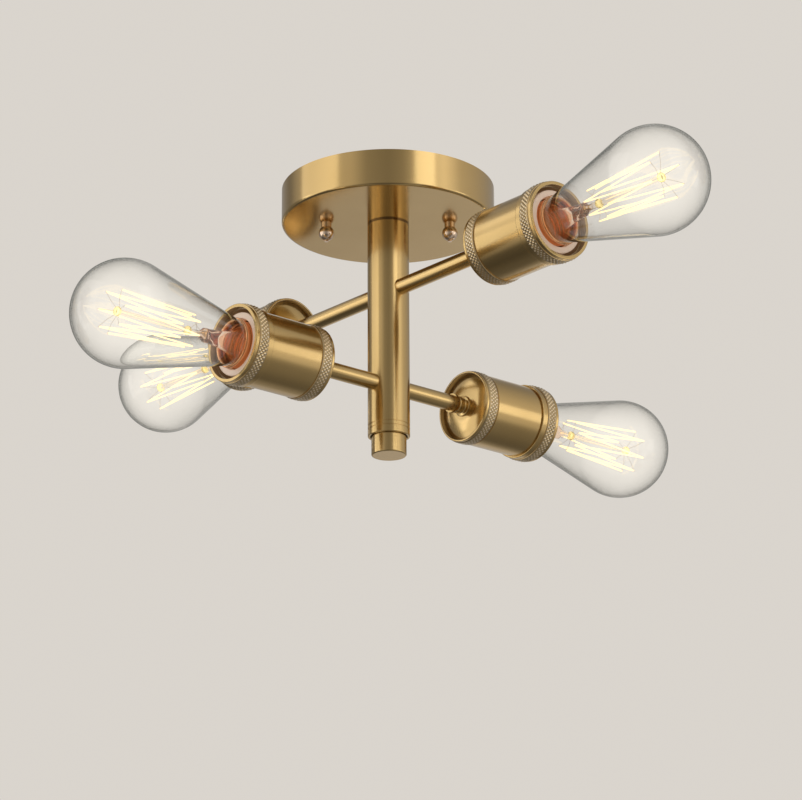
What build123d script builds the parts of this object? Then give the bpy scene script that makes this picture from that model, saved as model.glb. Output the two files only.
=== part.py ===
from build123d import *
import os
from math import asin, atan2, cos, hypot, pi, radians, sin, sqrt

os.makedirs("parts", exist_ok=True)

# Semi flush ceiling light: a shallow round canopy, a straight stem, two crossed pairs of arms
# at two heights, and four cylindrical sockets that each carry a clear pear-shaped bulb.
# Millimetres. +Z is up and z = 0 is the ceiling plane, where the canopy rim rests.

# --- fits -------------------------------------------------------------------------------
slip_gap = 0.05  # radial clearance of pieces that slide over one another at assembly
thread_gap = 0.1  # radial clearance of threaded pieces
bulb_gap = 0.4  # radial clearance of the bulb cap in its screw shell

# --- canopy and mounting bar ------------------------------------------------------------
canopy_d = 120.65
canopy_h = 21.0
canopy_wall = 1.2
canopy_edge = 1.6  # outside radius of the canopy's lower corner
bar_length = 104.0
bar_width = 20.0
bar_thick = 2.0
bar_corner = 5.0
box_spacing = 88.9  # ceiling box screws
slot_width = 5.2
slot_length = 9.2
stud_spacing = 69.85  # canopy studs and their ball nuts
stud_d = 4.2
stud_hex = 8.0
stud_hex_h = 3.0
stud_recess = 0.3  # the stud's top end stays this far below the ceiling plane
ball_d = 8.8
ball_neck_d = 6.0
ball_neck_h = 1.5
ball_tip_d = 2.4
ball_tip_h = 0.8
ball_thread = 4.0  # length of stud inside the ball nut
ground_x = 19.0
ground_d = 4.8
ground_hex = 8.0
ground_hex_h = 3.0
ground_washer_d = 10.0
ground_washer_h = 1.0

# --- stem -------------------------------------------------------------------------------
stem_d = 23.5
stem_wall = 1.3
stem_length = 126.0
stem_lip = 0.4
groove_depth = 0.35
groove_width = 0.9
groove_rise = (3.3, 5.6)  # turned lines above the stem's lower end
nipple_d = 10.0
nipple_bore = 6.6
nut_hex = 15.9
nut_h = 4.0
nut_stand = 2.5  # nipple shown above its nut
plug_h = 10.0
hub_h = 14.0
hub_bore = 8.0
cap_d = 19.6
cap_drop = 10.9  # end cap below the stem's lower end
cap_inset = 6.0  # end cap above it, inside the stem
cap_round = 0.8
cap_stub_d = 8.0
cap_stub_h = 7.0

# --- arms -------------------------------------------------------------------------------
upper_drop = 40.2  # upper pair's axis below the stem's top
lower_rise = 30.0  # lower pair's axis above the stem's lower end
upper_turn = -50.0  # bearing of the upper pair
pair_cross = 90.0  # the lower pair's bearing from the upper pair's
upper_seat = 85.5  # stem axis to a socket's rear rim
lower_seat = 55.5
arm_d = 9.2
arm_bore = 6.6
arm_root = 5.0  # stem axis to the arm's inner end

# --- sockets: s is the distance along the socket from its rear rim ------------------------
socket_l = 54.5
cup_d = 41.0
cup_wall = 1.2
band_proud = 0.6  # rear band's knurl beyond the cup
band_l = 8.4  # rear rim to the turned groove
band_knurl = 6.4  # length of its knurl
band_groove = 0.8
rim_round = 0.5
ring_proud = 1.1  # front ring beyond the cup
ring_crest = 0.7  # its knurl beyond the rest of it
ring_l = 12.0
ring_shoulder = 3.6
ring_knurl = 6.2  # length of the knurled band
ring_lip = 3.5
ring_mouth_step = 0.8  # its mouth inside the cup's outside
knurl_count = 48  # diamonds round a band
knurl_rows = 3
knurl_depth = 0.55
collar_d = 11.0
collar_h = 1.5
neck_d = 7.6
neck_l = 6.7
neck_flange_d = 12.0
neck_flange_h = 1.0
neck_thread_d = 9.6
neck_thread_l = 9.0
neck_spigot_l = 8.0
wire_bore = 4.0
dome_h = 3.0
dome_flat_d = 15.0
dome_wall = 1.0
dome_skirt = 6.0
holder_gap = 1.8  # between the lampholder and the cup
holder_depth = 33.5  # its floor behind the socket's front
holder_base = 8.0  # its thickness behind the floor
holder_inset = 3.0  # its face behind the socket's front
holder_boss_inset = 0.5  # its boss inside the dome's flat crown
shell_wall = 0.5
shell_gap = 0.2  # between the screw shell and the lampholder
shell_l = 26.5
shell_hole_d = 18.0
leaf_w = 6.0
leaf_thick = 0.5
leaf_l = 12.0

# --- bulb: u is the distance along the bulb from the rim of its cap -----------------------
bulb_out = 0.5  # cap rim ahead of the socket's front
bulb_cap_d = 26.2
bulb_cap_l = 21.0
bulb_cap_wall = 0.5
bulb_cap_rim_d = 27.6
bulb_foot_l = 4.5  # moulded foot and contact below the cap
bulb_contact_d = 9.0
bulb_d = 58.0
bulb_l = 98.5  # cap rim to tip
glass_wall = 0.8
glass_neck_d = 25.0
glass_flare_d = 26.6
glass_sunk = 7.5  # glass inside the cap
flute_d = 8.0
flute_rise = 12.5
press_w = 8.0
press_t = 3.6
press_top = 20.5
rod_d = 3.2
button_d = 5.2
button_h = 3.0
low_button = 29.5  # u of its middle
high_button = 74.5
cage_low = 27.0
cage_high = 78.5
cage_low_r = 9.0
cage_high_r = 12.5
cage_legs = 14
filament_d = 0.8
support_d = 0.5

# --- derived places ---------------------------------------------------------------------
canopy_floor = -canopy_h + canopy_wall
stem_top = -canopy_h
stem_bottom = stem_top - stem_length
stem_bore = stem_d - 2 * stem_wall
plug_d = stem_bore - 2 * slip_gap
upper_z = stem_top - upper_drop
lower_z = stem_bottom + lower_rise
cup_bore = cup_d - 2 * cup_wall
cup_l = socket_l - ring_lip
band_d = cup_d + 2 * band_proud
ring_land_d = cup_d + 2 * ring_proud
ring_d = ring_land_d + 2 * ring_crest
ring_mouth_d = cup_d - 2 * ring_mouth_step
shell_d = bulb_cap_d + 2 * bulb_gap + 2 * shell_wall
holder_d = cup_bore - 2 * holder_gap
holder_bore = shell_d + 2 * shell_gap
holder_floor = socket_l - holder_depth
holder_back = holder_floor - holder_base
rim_s = socket_l + bulb_out
foot_s = rim_s - bulb_cap_l - bulb_foot_l
up = Vector(0, 0, 1)


def seat(turn, height, distance):
    """Plane at a socket's rear rim: its normal points along the arm, away from the stem."""
    out = Vector(cos(radians(turn)), sin(radians(turn)), 0)
    return Plane(origin=out * distance + up * height, x_dir=up, z_dir=out)


def half(base):
    """Profile plane of a turned piece: local X is the radius and local Y the distance s."""
    return Plane(origin=base.origin, x_dir=up, z_dir=up.cross(base.z_dir))


def spin(base):
    """Axis that the piece on this seat is turned about."""
    return Axis(base.origin, base.z_dir)


def diamond_drum(crest_r, length):
    """Drum on the XY plane whose side is a lattice of diamond-shaped pyramids.

    Rows lie length / (knurl_rows + 1) apart and alternate by half a diamond. Each diamond has
    four corners at the valley radius and one peak at the crest radius.
    """
    step = length / (knurl_rows + 1)
    valley_r = crest_r - knurl_depth

    def spot(radius, row, place):
        angle = 2 * pi * place / knurl_count
        return Vector(radius * cos(angle), radius * sin(angle), step * row)

    faces = []
    for j in range(knurl_count):
        for row in range(1, knurl_rows + 1):
            mid = j + row % 2 / 2
            peak = spot(crest_r, row, mid)
            corners = ((-1, 0), (0, 0.5), (1, 0), (0, -0.5))
            rim = [spot(valley_r, row + a, mid + b) for a, b in corners]
            for a, b in zip(rim, rim[1:] + rim[:1]):
                faces.append(Face(Wire.make_polygon([a, b, peak])))
        for edge, inner in ((0, 1), (knurl_rows + 1, knurl_rows)):
            left, right = spot(valley_r, edge, j + 0.5), spot(valley_r, edge, j + 1.5)
            faces.append(Face(Wire.make_polygon([left, right, spot(valley_r, inner, j + 1)])))
    for edge in (0, knurl_rows + 1):
        outline = [spot(valley_r, edge, j + 0.5) for j in range(knurl_count)]
        faces.append(Face(Wire.make_polygon(outline)))
    return Solid(Shell(faces))


# The sockets stand across the stem from one another, 1 from 3 and 2 from 4.
seats = []
for across in (0, 180):
    seats.append(seat(upper_turn + across, upper_z, upper_seat))
    seats.append(seat(upper_turn - pair_cross + across, lower_z, lower_seat))

# --- canopy -----------------------------------------------------------------------------
# A drawn pan, open to the ceiling, with the stem hole and two stud holes in its floor.
with BuildPart() as canopy:
    with BuildSketch(Plane.XY.offset(-canopy_h)):
        Circle(canopy_d / 2)
    extrude(amount=canopy_h)
    fillet(canopy.edges().group_by(Axis.Z)[0], canopy_edge)
    with BuildSketch(Plane.XY.offset(canopy_floor)):
        Circle(canopy_d / 2 - canopy_wall)
    extrude(amount=canopy_h, mode=Mode.SUBTRACT)
    with BuildSketch(Plane.XY.offset(-canopy_h)):
        Circle(nipple_d / 2 + thread_gap)
        with GridLocations(stud_spacing, 0, 2, 1):
            Circle(stud_d / 2 + thread_gap)
    extrude(amount=canopy_h, mode=Mode.SUBTRACT)
canopy.part.label = "canopy"
export_step(canopy.part, "parts/canopy.step")

# --- mounting bar -----------------------------------------------------------------------
# A flat strip against the ceiling box: two slots for the box screws, two holes for the
# canopy studs, a tapped hole for the ground screw and a central hole for the wires.
with BuildPart() as mounting_bar:
    with BuildSketch(Plane.XY.offset(-bar_thick)):
        RectangleRounded(bar_length, bar_width, bar_corner)
        with GridLocations(box_spacing, 0, 2, 1):
            SlotOverall(slot_length, slot_width, mode=Mode.SUBTRACT)
        with GridLocations(stud_spacing, 0, 2, 1):
            Circle(stud_d / 2 + thread_gap, mode=Mode.SUBTRACT)
        Circle(nipple_d / 2 + thread_gap, mode=Mode.SUBTRACT)
        with Locations((ground_x, 0)):
            Circle(ground_d / 2 + thread_gap, mode=Mode.SUBTRACT)
    extrude(amount=bar_thick)
mounting_bar.part.label = "mounting_bar"
export_step(mounting_bar.part, "parts/mounting_bar.step")

# --- canopy studs -----------------------------------------------------------------------
# Each stud screws up into the bar as far as its hexagon and hangs down through the canopy.
with BuildPart() as canopy_studs:
    with BuildSketch(Plane.XY.offset(-canopy_h - ball_neck_h - ball_thread)):
        with GridLocations(stud_spacing, 0, 2, 1):
            Circle(stud_d / 2)
    extrude(amount=canopy_h + ball_neck_h + ball_thread - stud_recess)
    with BuildSketch(Plane.XY.offset(-bar_thick - stud_hex_h)):
        with GridLocations(stud_spacing, 0, 2, 1):
            RegularPolygon(stud_hex / 2, 6, major_radius=False)
    extrude(amount=stud_hex_h)
canopy_studs.part.label = "canopy_studs"
export_step(canopy_studs.part, "parts/canopy_studs.step")

# --- ball nuts --------------------------------------------------------------------------
# Round nuts below the canopy: a short neck against the floor, a ball and a small turned tip.
ball_z = -canopy_h - ball_neck_h - sqrt(ball_d**2 - ball_neck_d**2) / 2
tip_top = ball_z - sqrt(ball_d**2 - ball_tip_d**2) / 2
with BuildPart() as ball_nuts:
    for side in (-1, 1):
        with BuildSketch(Plane.XZ):
            with BuildLine():
                Polyline(
                    (side * stud_spacing / 2, -canopy_h),
                    (side * stud_spacing / 2 + ball_neck_d / 2, -canopy_h),
                    (side * stud_spacing / 2 + ball_neck_d / 2, -canopy_h - ball_neck_h),
                )
                ThreePointArc(
                    (side * stud_spacing / 2 + ball_neck_d / 2, -canopy_h - ball_neck_h),
                    (side * stud_spacing / 2 + ball_d / 2, ball_z),
                    (side * stud_spacing / 2 + ball_tip_d / 2, tip_top),
                )
                Polyline(
                    (side * stud_spacing / 2 + ball_tip_d / 2, tip_top),
                    (side * stud_spacing / 2 + ball_tip_d / 2, tip_top - ball_tip_h),
                    (side * stud_spacing / 2, tip_top - ball_tip_h),
                    (side * stud_spacing / 2, -canopy_h),
                )
            make_face()
        revolve(axis=Axis((side * stud_spacing / 2, 0, 0), (0, 0, 1)))
    with BuildSketch(Plane.XY.offset(-canopy_h)):
        with GridLocations(stud_spacing, 0, 2, 1):
            Circle(stud_d / 2 + thread_gap)
    extrude(amount=-ball_neck_h - ball_thread - 0.2, mode=Mode.SUBTRACT)
ball_nuts.part.label = "ball_nuts"
export_step(ball_nuts.part, "parts/ball_nuts.step")

# --- ground screw -----------------------------------------------------------------------
# A washer-faced hexagon screw driven up into the bar from below.
with BuildPart() as ground_screw:
    with BuildSketch(Plane.XY.offset(-bar_thick - ground_washer_h)):
        with Locations((ground_x, 0)):
            Circle(ground_washer_d / 2)
    extrude(amount=ground_washer_h)
    with BuildSketch(Plane.XY.offset(-bar_thick)):
        with Locations((ground_x, 0)):
            Circle(ground_d / 2)
    extrude(amount=bar_thick - stud_recess)
    with BuildSketch(Plane.XY.offset(-bar_thick - ground_washer_h - ground_hex_h)):
        with Locations((ground_x, 0)):
            RegularPolygon(ground_hex / 2, 6, major_radius=False)
    extrude(amount=ground_hex_h)
ground_screw.part.label = "ground_screw"
export_step(ground_screw.part, "parts/ground_screw.step")

# --- stem nipple and nut ----------------------------------------------------------------
# The threaded tube that carries the stem: it passes the canopy floor into the stem's top
# plug, and a hexagon nut inside the canopy draws the two together.
nipple_top = canopy_floor + nut_h + nut_stand
with BuildPart() as stem_nipple:
    with BuildSketch(Plane.XY.offset(stem_top - plug_h)):
        Circle(nipple_d / 2)
        Circle(nipple_bore / 2, mode=Mode.SUBTRACT)
    extrude(amount=nipple_top - stem_top + plug_h)
stem_nipple.part.label = "stem_nipple"
export_step(stem_nipple.part, "parts/stem_nipple.step")

with BuildPart() as stem_nut:
    with BuildSketch(Plane.XY.offset(canopy_floor)):
        RegularPolygon(nut_hex / 2, 6, major_radius=False)
        Circle(nipple_d / 2 + thread_gap, mode=Mode.SUBTRACT)
    extrude(amount=nut_h)
stem_nut.part.label = "stem_nut"
export_step(stem_nut.part, "parts/stem_nut.step")

# --- stem -------------------------------------------------------------------------------
# A straight tube with four arm holes and two fine turned lines near its rounded lower end.
with BuildPart() as stem_tube:
    with BuildSketch(Plane.XY.offset(stem_bottom)):
        Circle(stem_d / 2)
    extrude(amount=stem_length)
    fillet(stem_tube.edges().group_by(Axis.Z)[0], stem_lip)
    for rise in groove_rise:
        with BuildSketch(Plane.XY.offset(stem_bottom + rise)):
            Circle(stem_d / 2 + 1)
            Circle(stem_d / 2 - groove_depth, mode=Mode.SUBTRACT)
        extrude(amount=groove_width, mode=Mode.SUBTRACT)
    with BuildSketch(Plane.XY.offset(stem_bottom)):
        Circle(stem_bore / 2)
    extrude(amount=stem_length, mode=Mode.SUBTRACT)
    for place in seats:
        with BuildSketch(Plane(origin=(0, 0, place.origin.Z), z_dir=place.z_dir)):
            Circle(arm_d / 2 + slip_gap)
        extrude(amount=stem_d, mode=Mode.SUBTRACT)
stem_tube.part.label = "stem_tube"
export_step(stem_tube.part, "parts/stem_tube.step")

with BuildPart() as stem_plug:
    with BuildSketch(Plane.XY.offset(stem_top - plug_h)):
        Circle(plug_d / 2)
        Circle(nipple_d / 2 + thread_gap, mode=Mode.SUBTRACT)
    extrude(amount=plug_h)
stem_plug.part.label = "stem_plug"
export_step(stem_plug.part, "parts/stem_plug.step")

# Each hub is a turned block inside the stem, bored across for its two arms and down the
# middle for the wires.
for name, place in (("arm_hub_upper", seats[0]), ("arm_hub_lower", seats[1])):
    level = place.origin.Z
    with BuildPart() as arm_hub:
        with BuildSketch(Plane.XY.offset(level - hub_h / 2)):
            Circle(plug_d / 2)
            Circle(hub_bore / 2, mode=Mode.SUBTRACT)
        extrude(amount=hub_h)
        with BuildSketch(Plane(origin=(0, 0, level), z_dir=place.z_dir)):
            Circle(arm_d / 2 + slip_gap)
        extrude(amount=stem_d, both=True, mode=Mode.SUBTRACT)
    arm_hub.part.label = name
    export_step(arm_hub.part, "parts/" + name + ".step")

# --- lower end of the stem --------------------------------------------------------------
# A tapped plug fixed in the tube, and the turned end cap that screws up into it and stands
# out of the tube with a narrow dark gap all round.
cap_top = stem_bottom + cap_inset
with BuildPart() as end_plug:
    with BuildSketch(Plane.XY.offset(cap_top)):
        Circle(plug_d / 2)
        Circle(cap_stub_d / 2 + thread_gap, mode=Mode.SUBTRACT)
    extrude(amount=plug_h)
end_plug.part.label = "end_plug"
export_step(end_plug.part, "parts/end_plug.step")

with BuildPart() as end_cap:
    with BuildSketch(Plane.XY.offset(stem_bottom - cap_drop)):
        Circle(cap_d / 2)
    extrude(amount=cap_drop + cap_inset)
    fillet(end_cap.edges().group_by(Axis.Z)[0], cap_round)
    with BuildSketch(Plane.XY.offset(cap_top)):
        Circle(cap_stub_d / 2)
    extrude(amount=cap_stub_h)
end_cap.part.label = "end_cap"
export_step(end_cap.part, "parts/end_cap.step")

# --- arms -------------------------------------------------------------------------------
# Plain tubes from the hub to the neck of each socket.
neck_back = neck_flange_h + neck_l  # collar's front face, behind the rear rim
arm_gap = neck_back + collar_h  # arm's end, behind the rear rim
for n, place in enumerate(seats, 1):
    reach = (upper_seat, lower_seat)[(n - 1) % 2]
    with BuildPart() as arm:
        with BuildSketch(place.offset(arm_root - reach)):
            Circle(arm_d / 2)
            Circle(arm_bore / 2, mode=Mode.SUBTRACT)
        extrude(amount=reach - arm_root - arm_gap)
    arm.part.label = f"arm_{n}"
    export_step(arm.part, f"parts/arm_{n}.step")

# One thin collar closes the end of each arm.
with BuildPart() as arm_collars:
    for place in seats:
        with BuildSketch(place.offset(-arm_gap)):
            Circle(collar_d / 2)
            Circle(arm_bore / 2, mode=Mode.SUBTRACT)
        extrude(amount=collar_h)
arm_collars.part.label = "arm_collars"
export_step(arm_collars.part, "parts/arm_collars.step")

# One turned neck per socket: a spigot in the arm, a waist, a flange on the dome and a
# threaded end in the lampholder, with the wire hole right through.
with BuildPart() as socket_necks:
    for place in seats:
        with BuildSketch(half(place)):
            with BuildLine():
                Polyline(
                    (wire_bore / 2, -arm_gap - neck_spigot_l),
                    (arm_bore / 2 - thread_gap, -arm_gap - neck_spigot_l),
                    (arm_bore / 2 - thread_gap, -neck_back),
                    (neck_d / 2, -neck_back),
                    (neck_d / 2, -neck_flange_h),
                    (neck_flange_d / 2, -neck_flange_h),
                    (neck_flange_d / 2, 0),
                    (neck_thread_d / 2, 0),
                    (neck_thread_d / 2, neck_thread_l),
                    (wire_bore / 2, neck_thread_l),
                    close=True,
                )
            make_face()
        revolve(axis=spin(place))
socket_necks.part.label = "socket_necks"
export_step(socket_necks.part, "parts/socket_necks.step")

# --- sockets ----------------------------------------------------------------------------
# Spun dome at the back of each socket: a flat crown for the neck, a shoulder that falls away
# to the wall of the cup, and a skirt inside it.
dome_r = cup_bore / 2 - slip_gap
dome_in = dome_r - dome_wall
crown_r = dome_flat_d / 2
sweep_r = ((dome_r - crown_r) ** 2 + dome_h**2) / (2 * dome_h)
inner_h = sweep_r - sqrt((sweep_r - dome_wall) ** 2 - (dome_in - crown_r) ** 2)
for n, place in enumerate(seats, 1):
    with BuildPart() as socket_dome:
        with BuildSketch(half(place)):
            with BuildLine():
                Line((neck_thread_d / 2 + thread_gap, 0), (crown_r, 0))
                TangentArc((crown_r, 0), (dome_r, dome_h), tangent=(1, 0))
                Polyline(
                    (dome_r, dome_h),
                    (dome_r, dome_h + dome_skirt),
                    (dome_in, dome_h + dome_skirt),
                    (dome_in, inner_h),
                )
                TangentArc((crown_r, dome_wall), (dome_in, inner_h), tangent=(1, 0))
                Polyline(
                    (crown_r, dome_wall),
                    (neck_thread_d / 2 + thread_gap, dome_wall),
                    (neck_thread_d / 2 + thread_gap, 0),
                )
            make_face()
        revolve(axis=spin(place))
    socket_dome.part.label = f"socket_dome_{n}"
    export_step(socket_dome.part, f"parts/socket_dome_{n}.step")

# Cup: a straight tube whose diamond-knurled rear band stands a little proud of it, between a
# plain rounded rim and a turned groove.
rear_knurl = diamond_drum(band_d / 2, band_knurl)
for n, place in enumerate(seats, 1):
    with BuildPart() as cup:
        add(rear_knurl.moved(place.offset(band_l - band_knurl).location))
        with BuildSketch(place):
            Circle(cup_d / 2 - cup_wall / 2)
        extrude(amount=band_l, mode=Mode.SUBTRACT)
        with BuildSketch(half(place)):
            with BuildLine():
                Polyline(
                    (cup_bore / 2, rim_round),
                    (cup_bore / 2 + rim_round, 0),
                    (cup_d / 2 - rim_round, 0),
                    (cup_d / 2, rim_round),
                    (cup_d / 2, band_l),
                    (cup_d / 2 - band_groove / 2, band_l),
                    (cup_d / 2 - band_groove / 2, band_l + band_groove),
                    (cup_d / 2, band_l + band_groove),
                    (cup_d / 2, cup_l),
                    (cup_bore / 2, cup_l),
                    close=True,
                )
            make_face()
        revolve(axis=spin(place))
    cup.part.label = f"cup_{n}"
    export_step(cup.part, f"parts/cup_{n}.step")

# Front ring: it slips over the cup as far as its lip, with a smooth shoulder, a raised
# diamond-knurled band and a plain lip round the mouth.
ring_s = socket_l - ring_l
knurl_s = ring_s + ring_shoulder
front_knurl = diamond_drum(ring_d / 2, ring_knurl)
for n, place in enumerate(seats, 1):
    with BuildPart() as front_ring:
        add(front_knurl.moved(place.offset(knurl_s).location))
        with BuildSketch(place.offset(knurl_s)):
            Circle(ring_land_d / 2 - rim_round)
        extrude(amount=ring_knurl, mode=Mode.SUBTRACT)
        with BuildSketch(half(place)):
            with BuildLine():
                Polyline(
                    (cup_d / 2 + slip_gap, ring_s),
                    (ring_land_d / 2 - rim_round, ring_s),
                    (ring_land_d / 2, ring_s + rim_round),
                    (ring_land_d / 2, socket_l - rim_round),
                    (ring_land_d / 2 - rim_round, socket_l),
                    (ring_mouth_d / 2, socket_l),
                    (ring_mouth_d / 2, cup_l),
                    (cup_d / 2 + slip_gap, cup_l),
                    close=True,
                )
            make_face()
        revolve(axis=spin(place))
    front_ring.part.label = f"front_ring_{n}"
    export_step(front_ring.part, f"parts/front_ring_{n}.step")

# Lampholder: a moulded body on the neck's thread, with a boss behind and a deep bore.
holder_mouth = socket_l - holder_inset
for n, place in enumerate(seats, 1):
    with BuildPart() as lampholder:
        with BuildSketch(place.offset(holder_back)):
            Circle(holder_d / 2)
        extrude(amount=holder_mouth - holder_back)
        fillet(lampholder.edges(), rim_round)
        with BuildSketch(place.offset(dome_wall)):
            Circle(dome_flat_d / 2 - holder_boss_inset)
        extrude(amount=holder_back - dome_wall)
        with BuildSketch(place.offset(holder_floor)):
            Circle(holder_bore / 2)
        extrude(amount=socket_l - holder_floor, mode=Mode.SUBTRACT)
        with BuildSketch(place.offset(dome_wall)):
            Circle(neck_thread_d / 2 + thread_gap)
        extrude(amount=neck_thread_l, mode=Mode.SUBTRACT)
        with BuildSketch(place.offset(dome_wall)):
            Circle(wire_bore / 2)
        extrude(amount=holder_back - dome_wall, mode=Mode.SUBTRACT)
    lampholder.part.label = f"lampholder_{n}"
    export_step(lampholder.part, f"parts/lampholder_{n}.step")

# Screw shell: a thin sleeve on the lampholder's floor that takes the bulb's cap.
for n, place in enumerate(seats, 1):
    with BuildPart() as screw_shell:
        with BuildSketch(place.offset(holder_floor)):
            Circle(shell_d / 2)
        extrude(amount=shell_l)
        with BuildSketch(place.offset(holder_floor + shell_wall)):
            Circle(shell_d / 2 - shell_wall)
        extrude(amount=shell_l, mode=Mode.SUBTRACT)
        with BuildSketch(place.offset(holder_floor)):
            Circle(shell_hole_d / 2)
        extrude(amount=shell_l, mode=Mode.SUBTRACT)
    screw_shell.part.label = f"screw_shell_{n}"
    export_step(screw_shell.part, f"parts/screw_shell_{n}.step")

# Centre contacts: one bent spring leaf on each lampholder's floor.
leaf_rise = foot_s - holder_floor - leaf_thick
with BuildPart() as centre_contacts:
    for place in seats:
        side_on = Plane(
            origin=place.origin + place.z_dir * (holder_floor + leaf_thick / 2),
            x_dir=up,
            z_dir=up.cross(place.z_dir),
        )
        with BuildSketch(side_on):
            with BuildLine():
                Polyline(
                    (-leaf_l / 2, 0),
                    (leaf_l / 2, 0),
                    (-leaf_w / 2, leaf_rise),
                    (leaf_w / 2, leaf_rise),
                )
            trace(line_width=leaf_thick)
        extrude(amount=leaf_w / 2, both=True)
centre_contacts.part.label = "centre_contacts"
export_step(centre_contacts.part, "parts/centre_contacts.step")

# --- bulbs ------------------------------------------------------------------------------
# The glass is a straight cone from the neck, tangent to a sphere at the tip.
ball_r = bulb_d / 2
ball_u = bulb_l - ball_r
neck_u = glass_flare_d / 2 - glass_neck_d / 2 + 1.2  # end of the short curved neck
run = hypot(ball_u - neck_u, glass_flare_d / 2)
lean = asin(ball_r / run) - atan2(glass_flare_d / 2, ball_u - neck_u)
touch = (ball_r * cos(lean), ball_u - ball_r * sin(lean))
inner_r = ball_r - glass_wall
inner_touch = (inner_r * cos(lean), ball_u - inner_r * sin(lean))
inner_neck = glass_flare_d / 2 - glass_wall / cos(lean)
for n, place in enumerate(seats, 1):
    rim = place.offset(rim_s)
    with BuildPart() as bulb_glass:
        with BuildSketch(half(rim)):
            with BuildLine():
                Line((glass_neck_d / 2, -glass_sunk), (glass_neck_d / 2, 0))
                Line((glass_neck_d / 2, 0), (glass_flare_d / 2, neck_u))
                Line((glass_flare_d / 2, neck_u), touch)
                TangentArc(touch, (0, bulb_l), tangent=(sin(lean), cos(lean)))
                Line((0, bulb_l), (0, bulb_l - glass_wall))
                TangentArc(inner_touch, (0, bulb_l - glass_wall), tangent=(sin(lean), cos(lean)))
                Line(inner_touch, (inner_neck, neck_u))
                Line((inner_neck, neck_u), (glass_neck_d / 2 - glass_wall, 0))
                Polyline(
                    (glass_neck_d / 2 - glass_wall, 0),
                    (glass_neck_d / 2 - glass_wall, -glass_sunk),
                    (glass_neck_d / 2, -glass_sunk),
                )
            make_face()
        revolve(axis=spin(place))
    bulb_glass.part.label = f"bulb_glass_{n}"
    export_step(bulb_glass.part, f"parts/bulb_glass_{n}.step")

# Bulb cap: a drawn sleeve with a rolled rim, turned in at its lower end to hold the foot.
cap_r = bulb_cap_d / 2
for n, place in enumerate(seats, 1):
    rim = place.offset(rim_s)
    with BuildPart() as bulb_cap:
        with BuildSketch(half(rim)):
            with BuildLine():
                Polyline(
                    (bulb_contact_d / 2 + 3, -bulb_cap_l),
                    (cap_r - bulb_cap_wall, -bulb_cap_l),
                    (cap_r, -bulb_cap_l + 2 * bulb_cap_wall),
                    (cap_r, -2 * bulb_cap_wall),
                    (bulb_cap_rim_d / 2, -bulb_cap_wall),
                    (bulb_cap_rim_d / 2, 0),
                    (cap_r - bulb_cap_wall, 0),
                    (cap_r - bulb_cap_wall, -bulb_cap_l + bulb_cap_wall),
                    (bulb_contact_d / 2 + 3, -bulb_cap_l + bulb_cap_wall),
                    close=True,
                )
            make_face()
        revolve(axis=spin(place))
    bulb_cap.part.label = f"bulb_cap_{n}"
    export_step(bulb_cap.part, f"parts/bulb_cap_{n}.step")

# Bulb foot: the moulded insulator seated in the cap, tapering to the end contact.
for n, place in enumerate(seats, 1):
    rim = place.offset(rim_s)
    with BuildPart() as bulb_foot:
        with BuildSketch(half(rim)):
            with BuildLine():
                Polyline(
                    (0, -bulb_cap_l - bulb_foot_l),
                    (bulb_contact_d / 2, -bulb_cap_l - bulb_foot_l),
                    (bulb_contact_d / 2, -bulb_cap_l - bulb_foot_l + 1),
                    (bulb_contact_d / 2 + 3, -bulb_cap_l),
                    (bulb_contact_d / 2 + 3, -bulb_cap_l + bulb_cap_wall),
                    (bulb_contact_d / 2 + 6, -bulb_cap_l + bulb_cap_wall),
                    (bulb_contact_d / 2 + 6, -bulb_cap_l + 3),
                    (0, -bulb_cap_l + 3),
                    close=True,
                )
            make_face()
        revolve(axis=spin(place))
    bulb_foot.part.label = f"bulb_foot_{n}"
    export_step(bulb_foot.part, f"parts/bulb_foot_{n}.step")

# Glass mount: a flared skirt sealed into the neck, pressed flat at its top, and a slim rod
# with two buttons that hold the filament's supports.
skirt_r = glass_neck_d / 2 - glass_wall
for n, place in enumerate(seats, 1):
    rim = place.offset(rim_s)
    with BuildPart() as bulb_mount:
        with BuildSketch(half(rim)):
            with BuildLine():
                Polyline((0, -glass_sunk + 0.5), (skirt_r, -glass_sunk + 0.5), (skirt_r, -glass_sunk + 1.3))
                Spline(
                    (skirt_r, -glass_sunk + 1.3),
                    (flute_d / 2, flute_rise),
                    tangents=((-0.4, 1), (0, 1)),
                )
                Polyline(
                    (flute_d / 2, flute_rise),
                    (flute_d / 2 - 1, flute_rise + 1),
                    (0, flute_rise + 1),
                    (0, -glass_sunk + 0.5),
                )
            make_face()
        revolve(axis=spin(place))
        with BuildSketch(rim.offset(flute_rise)):
            Rectangle(press_w, press_t)
        extrude(amount=press_top - flute_rise)
        with BuildSketch(rim.offset(press_top)):
            Circle(rod_d / 2)
        extrude(amount=high_button - press_top)
        for level in (low_button, high_button):
            with BuildSketch(rim.offset(level - button_h / 2)):
                Circle(button_d / 2)
            extrude(amount=button_h)
    bulb_mount.part.label = f"bulb_mount_{n}"
    export_step(bulb_mount.part, f"parts/bulb_mount_{n}.step")

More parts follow.
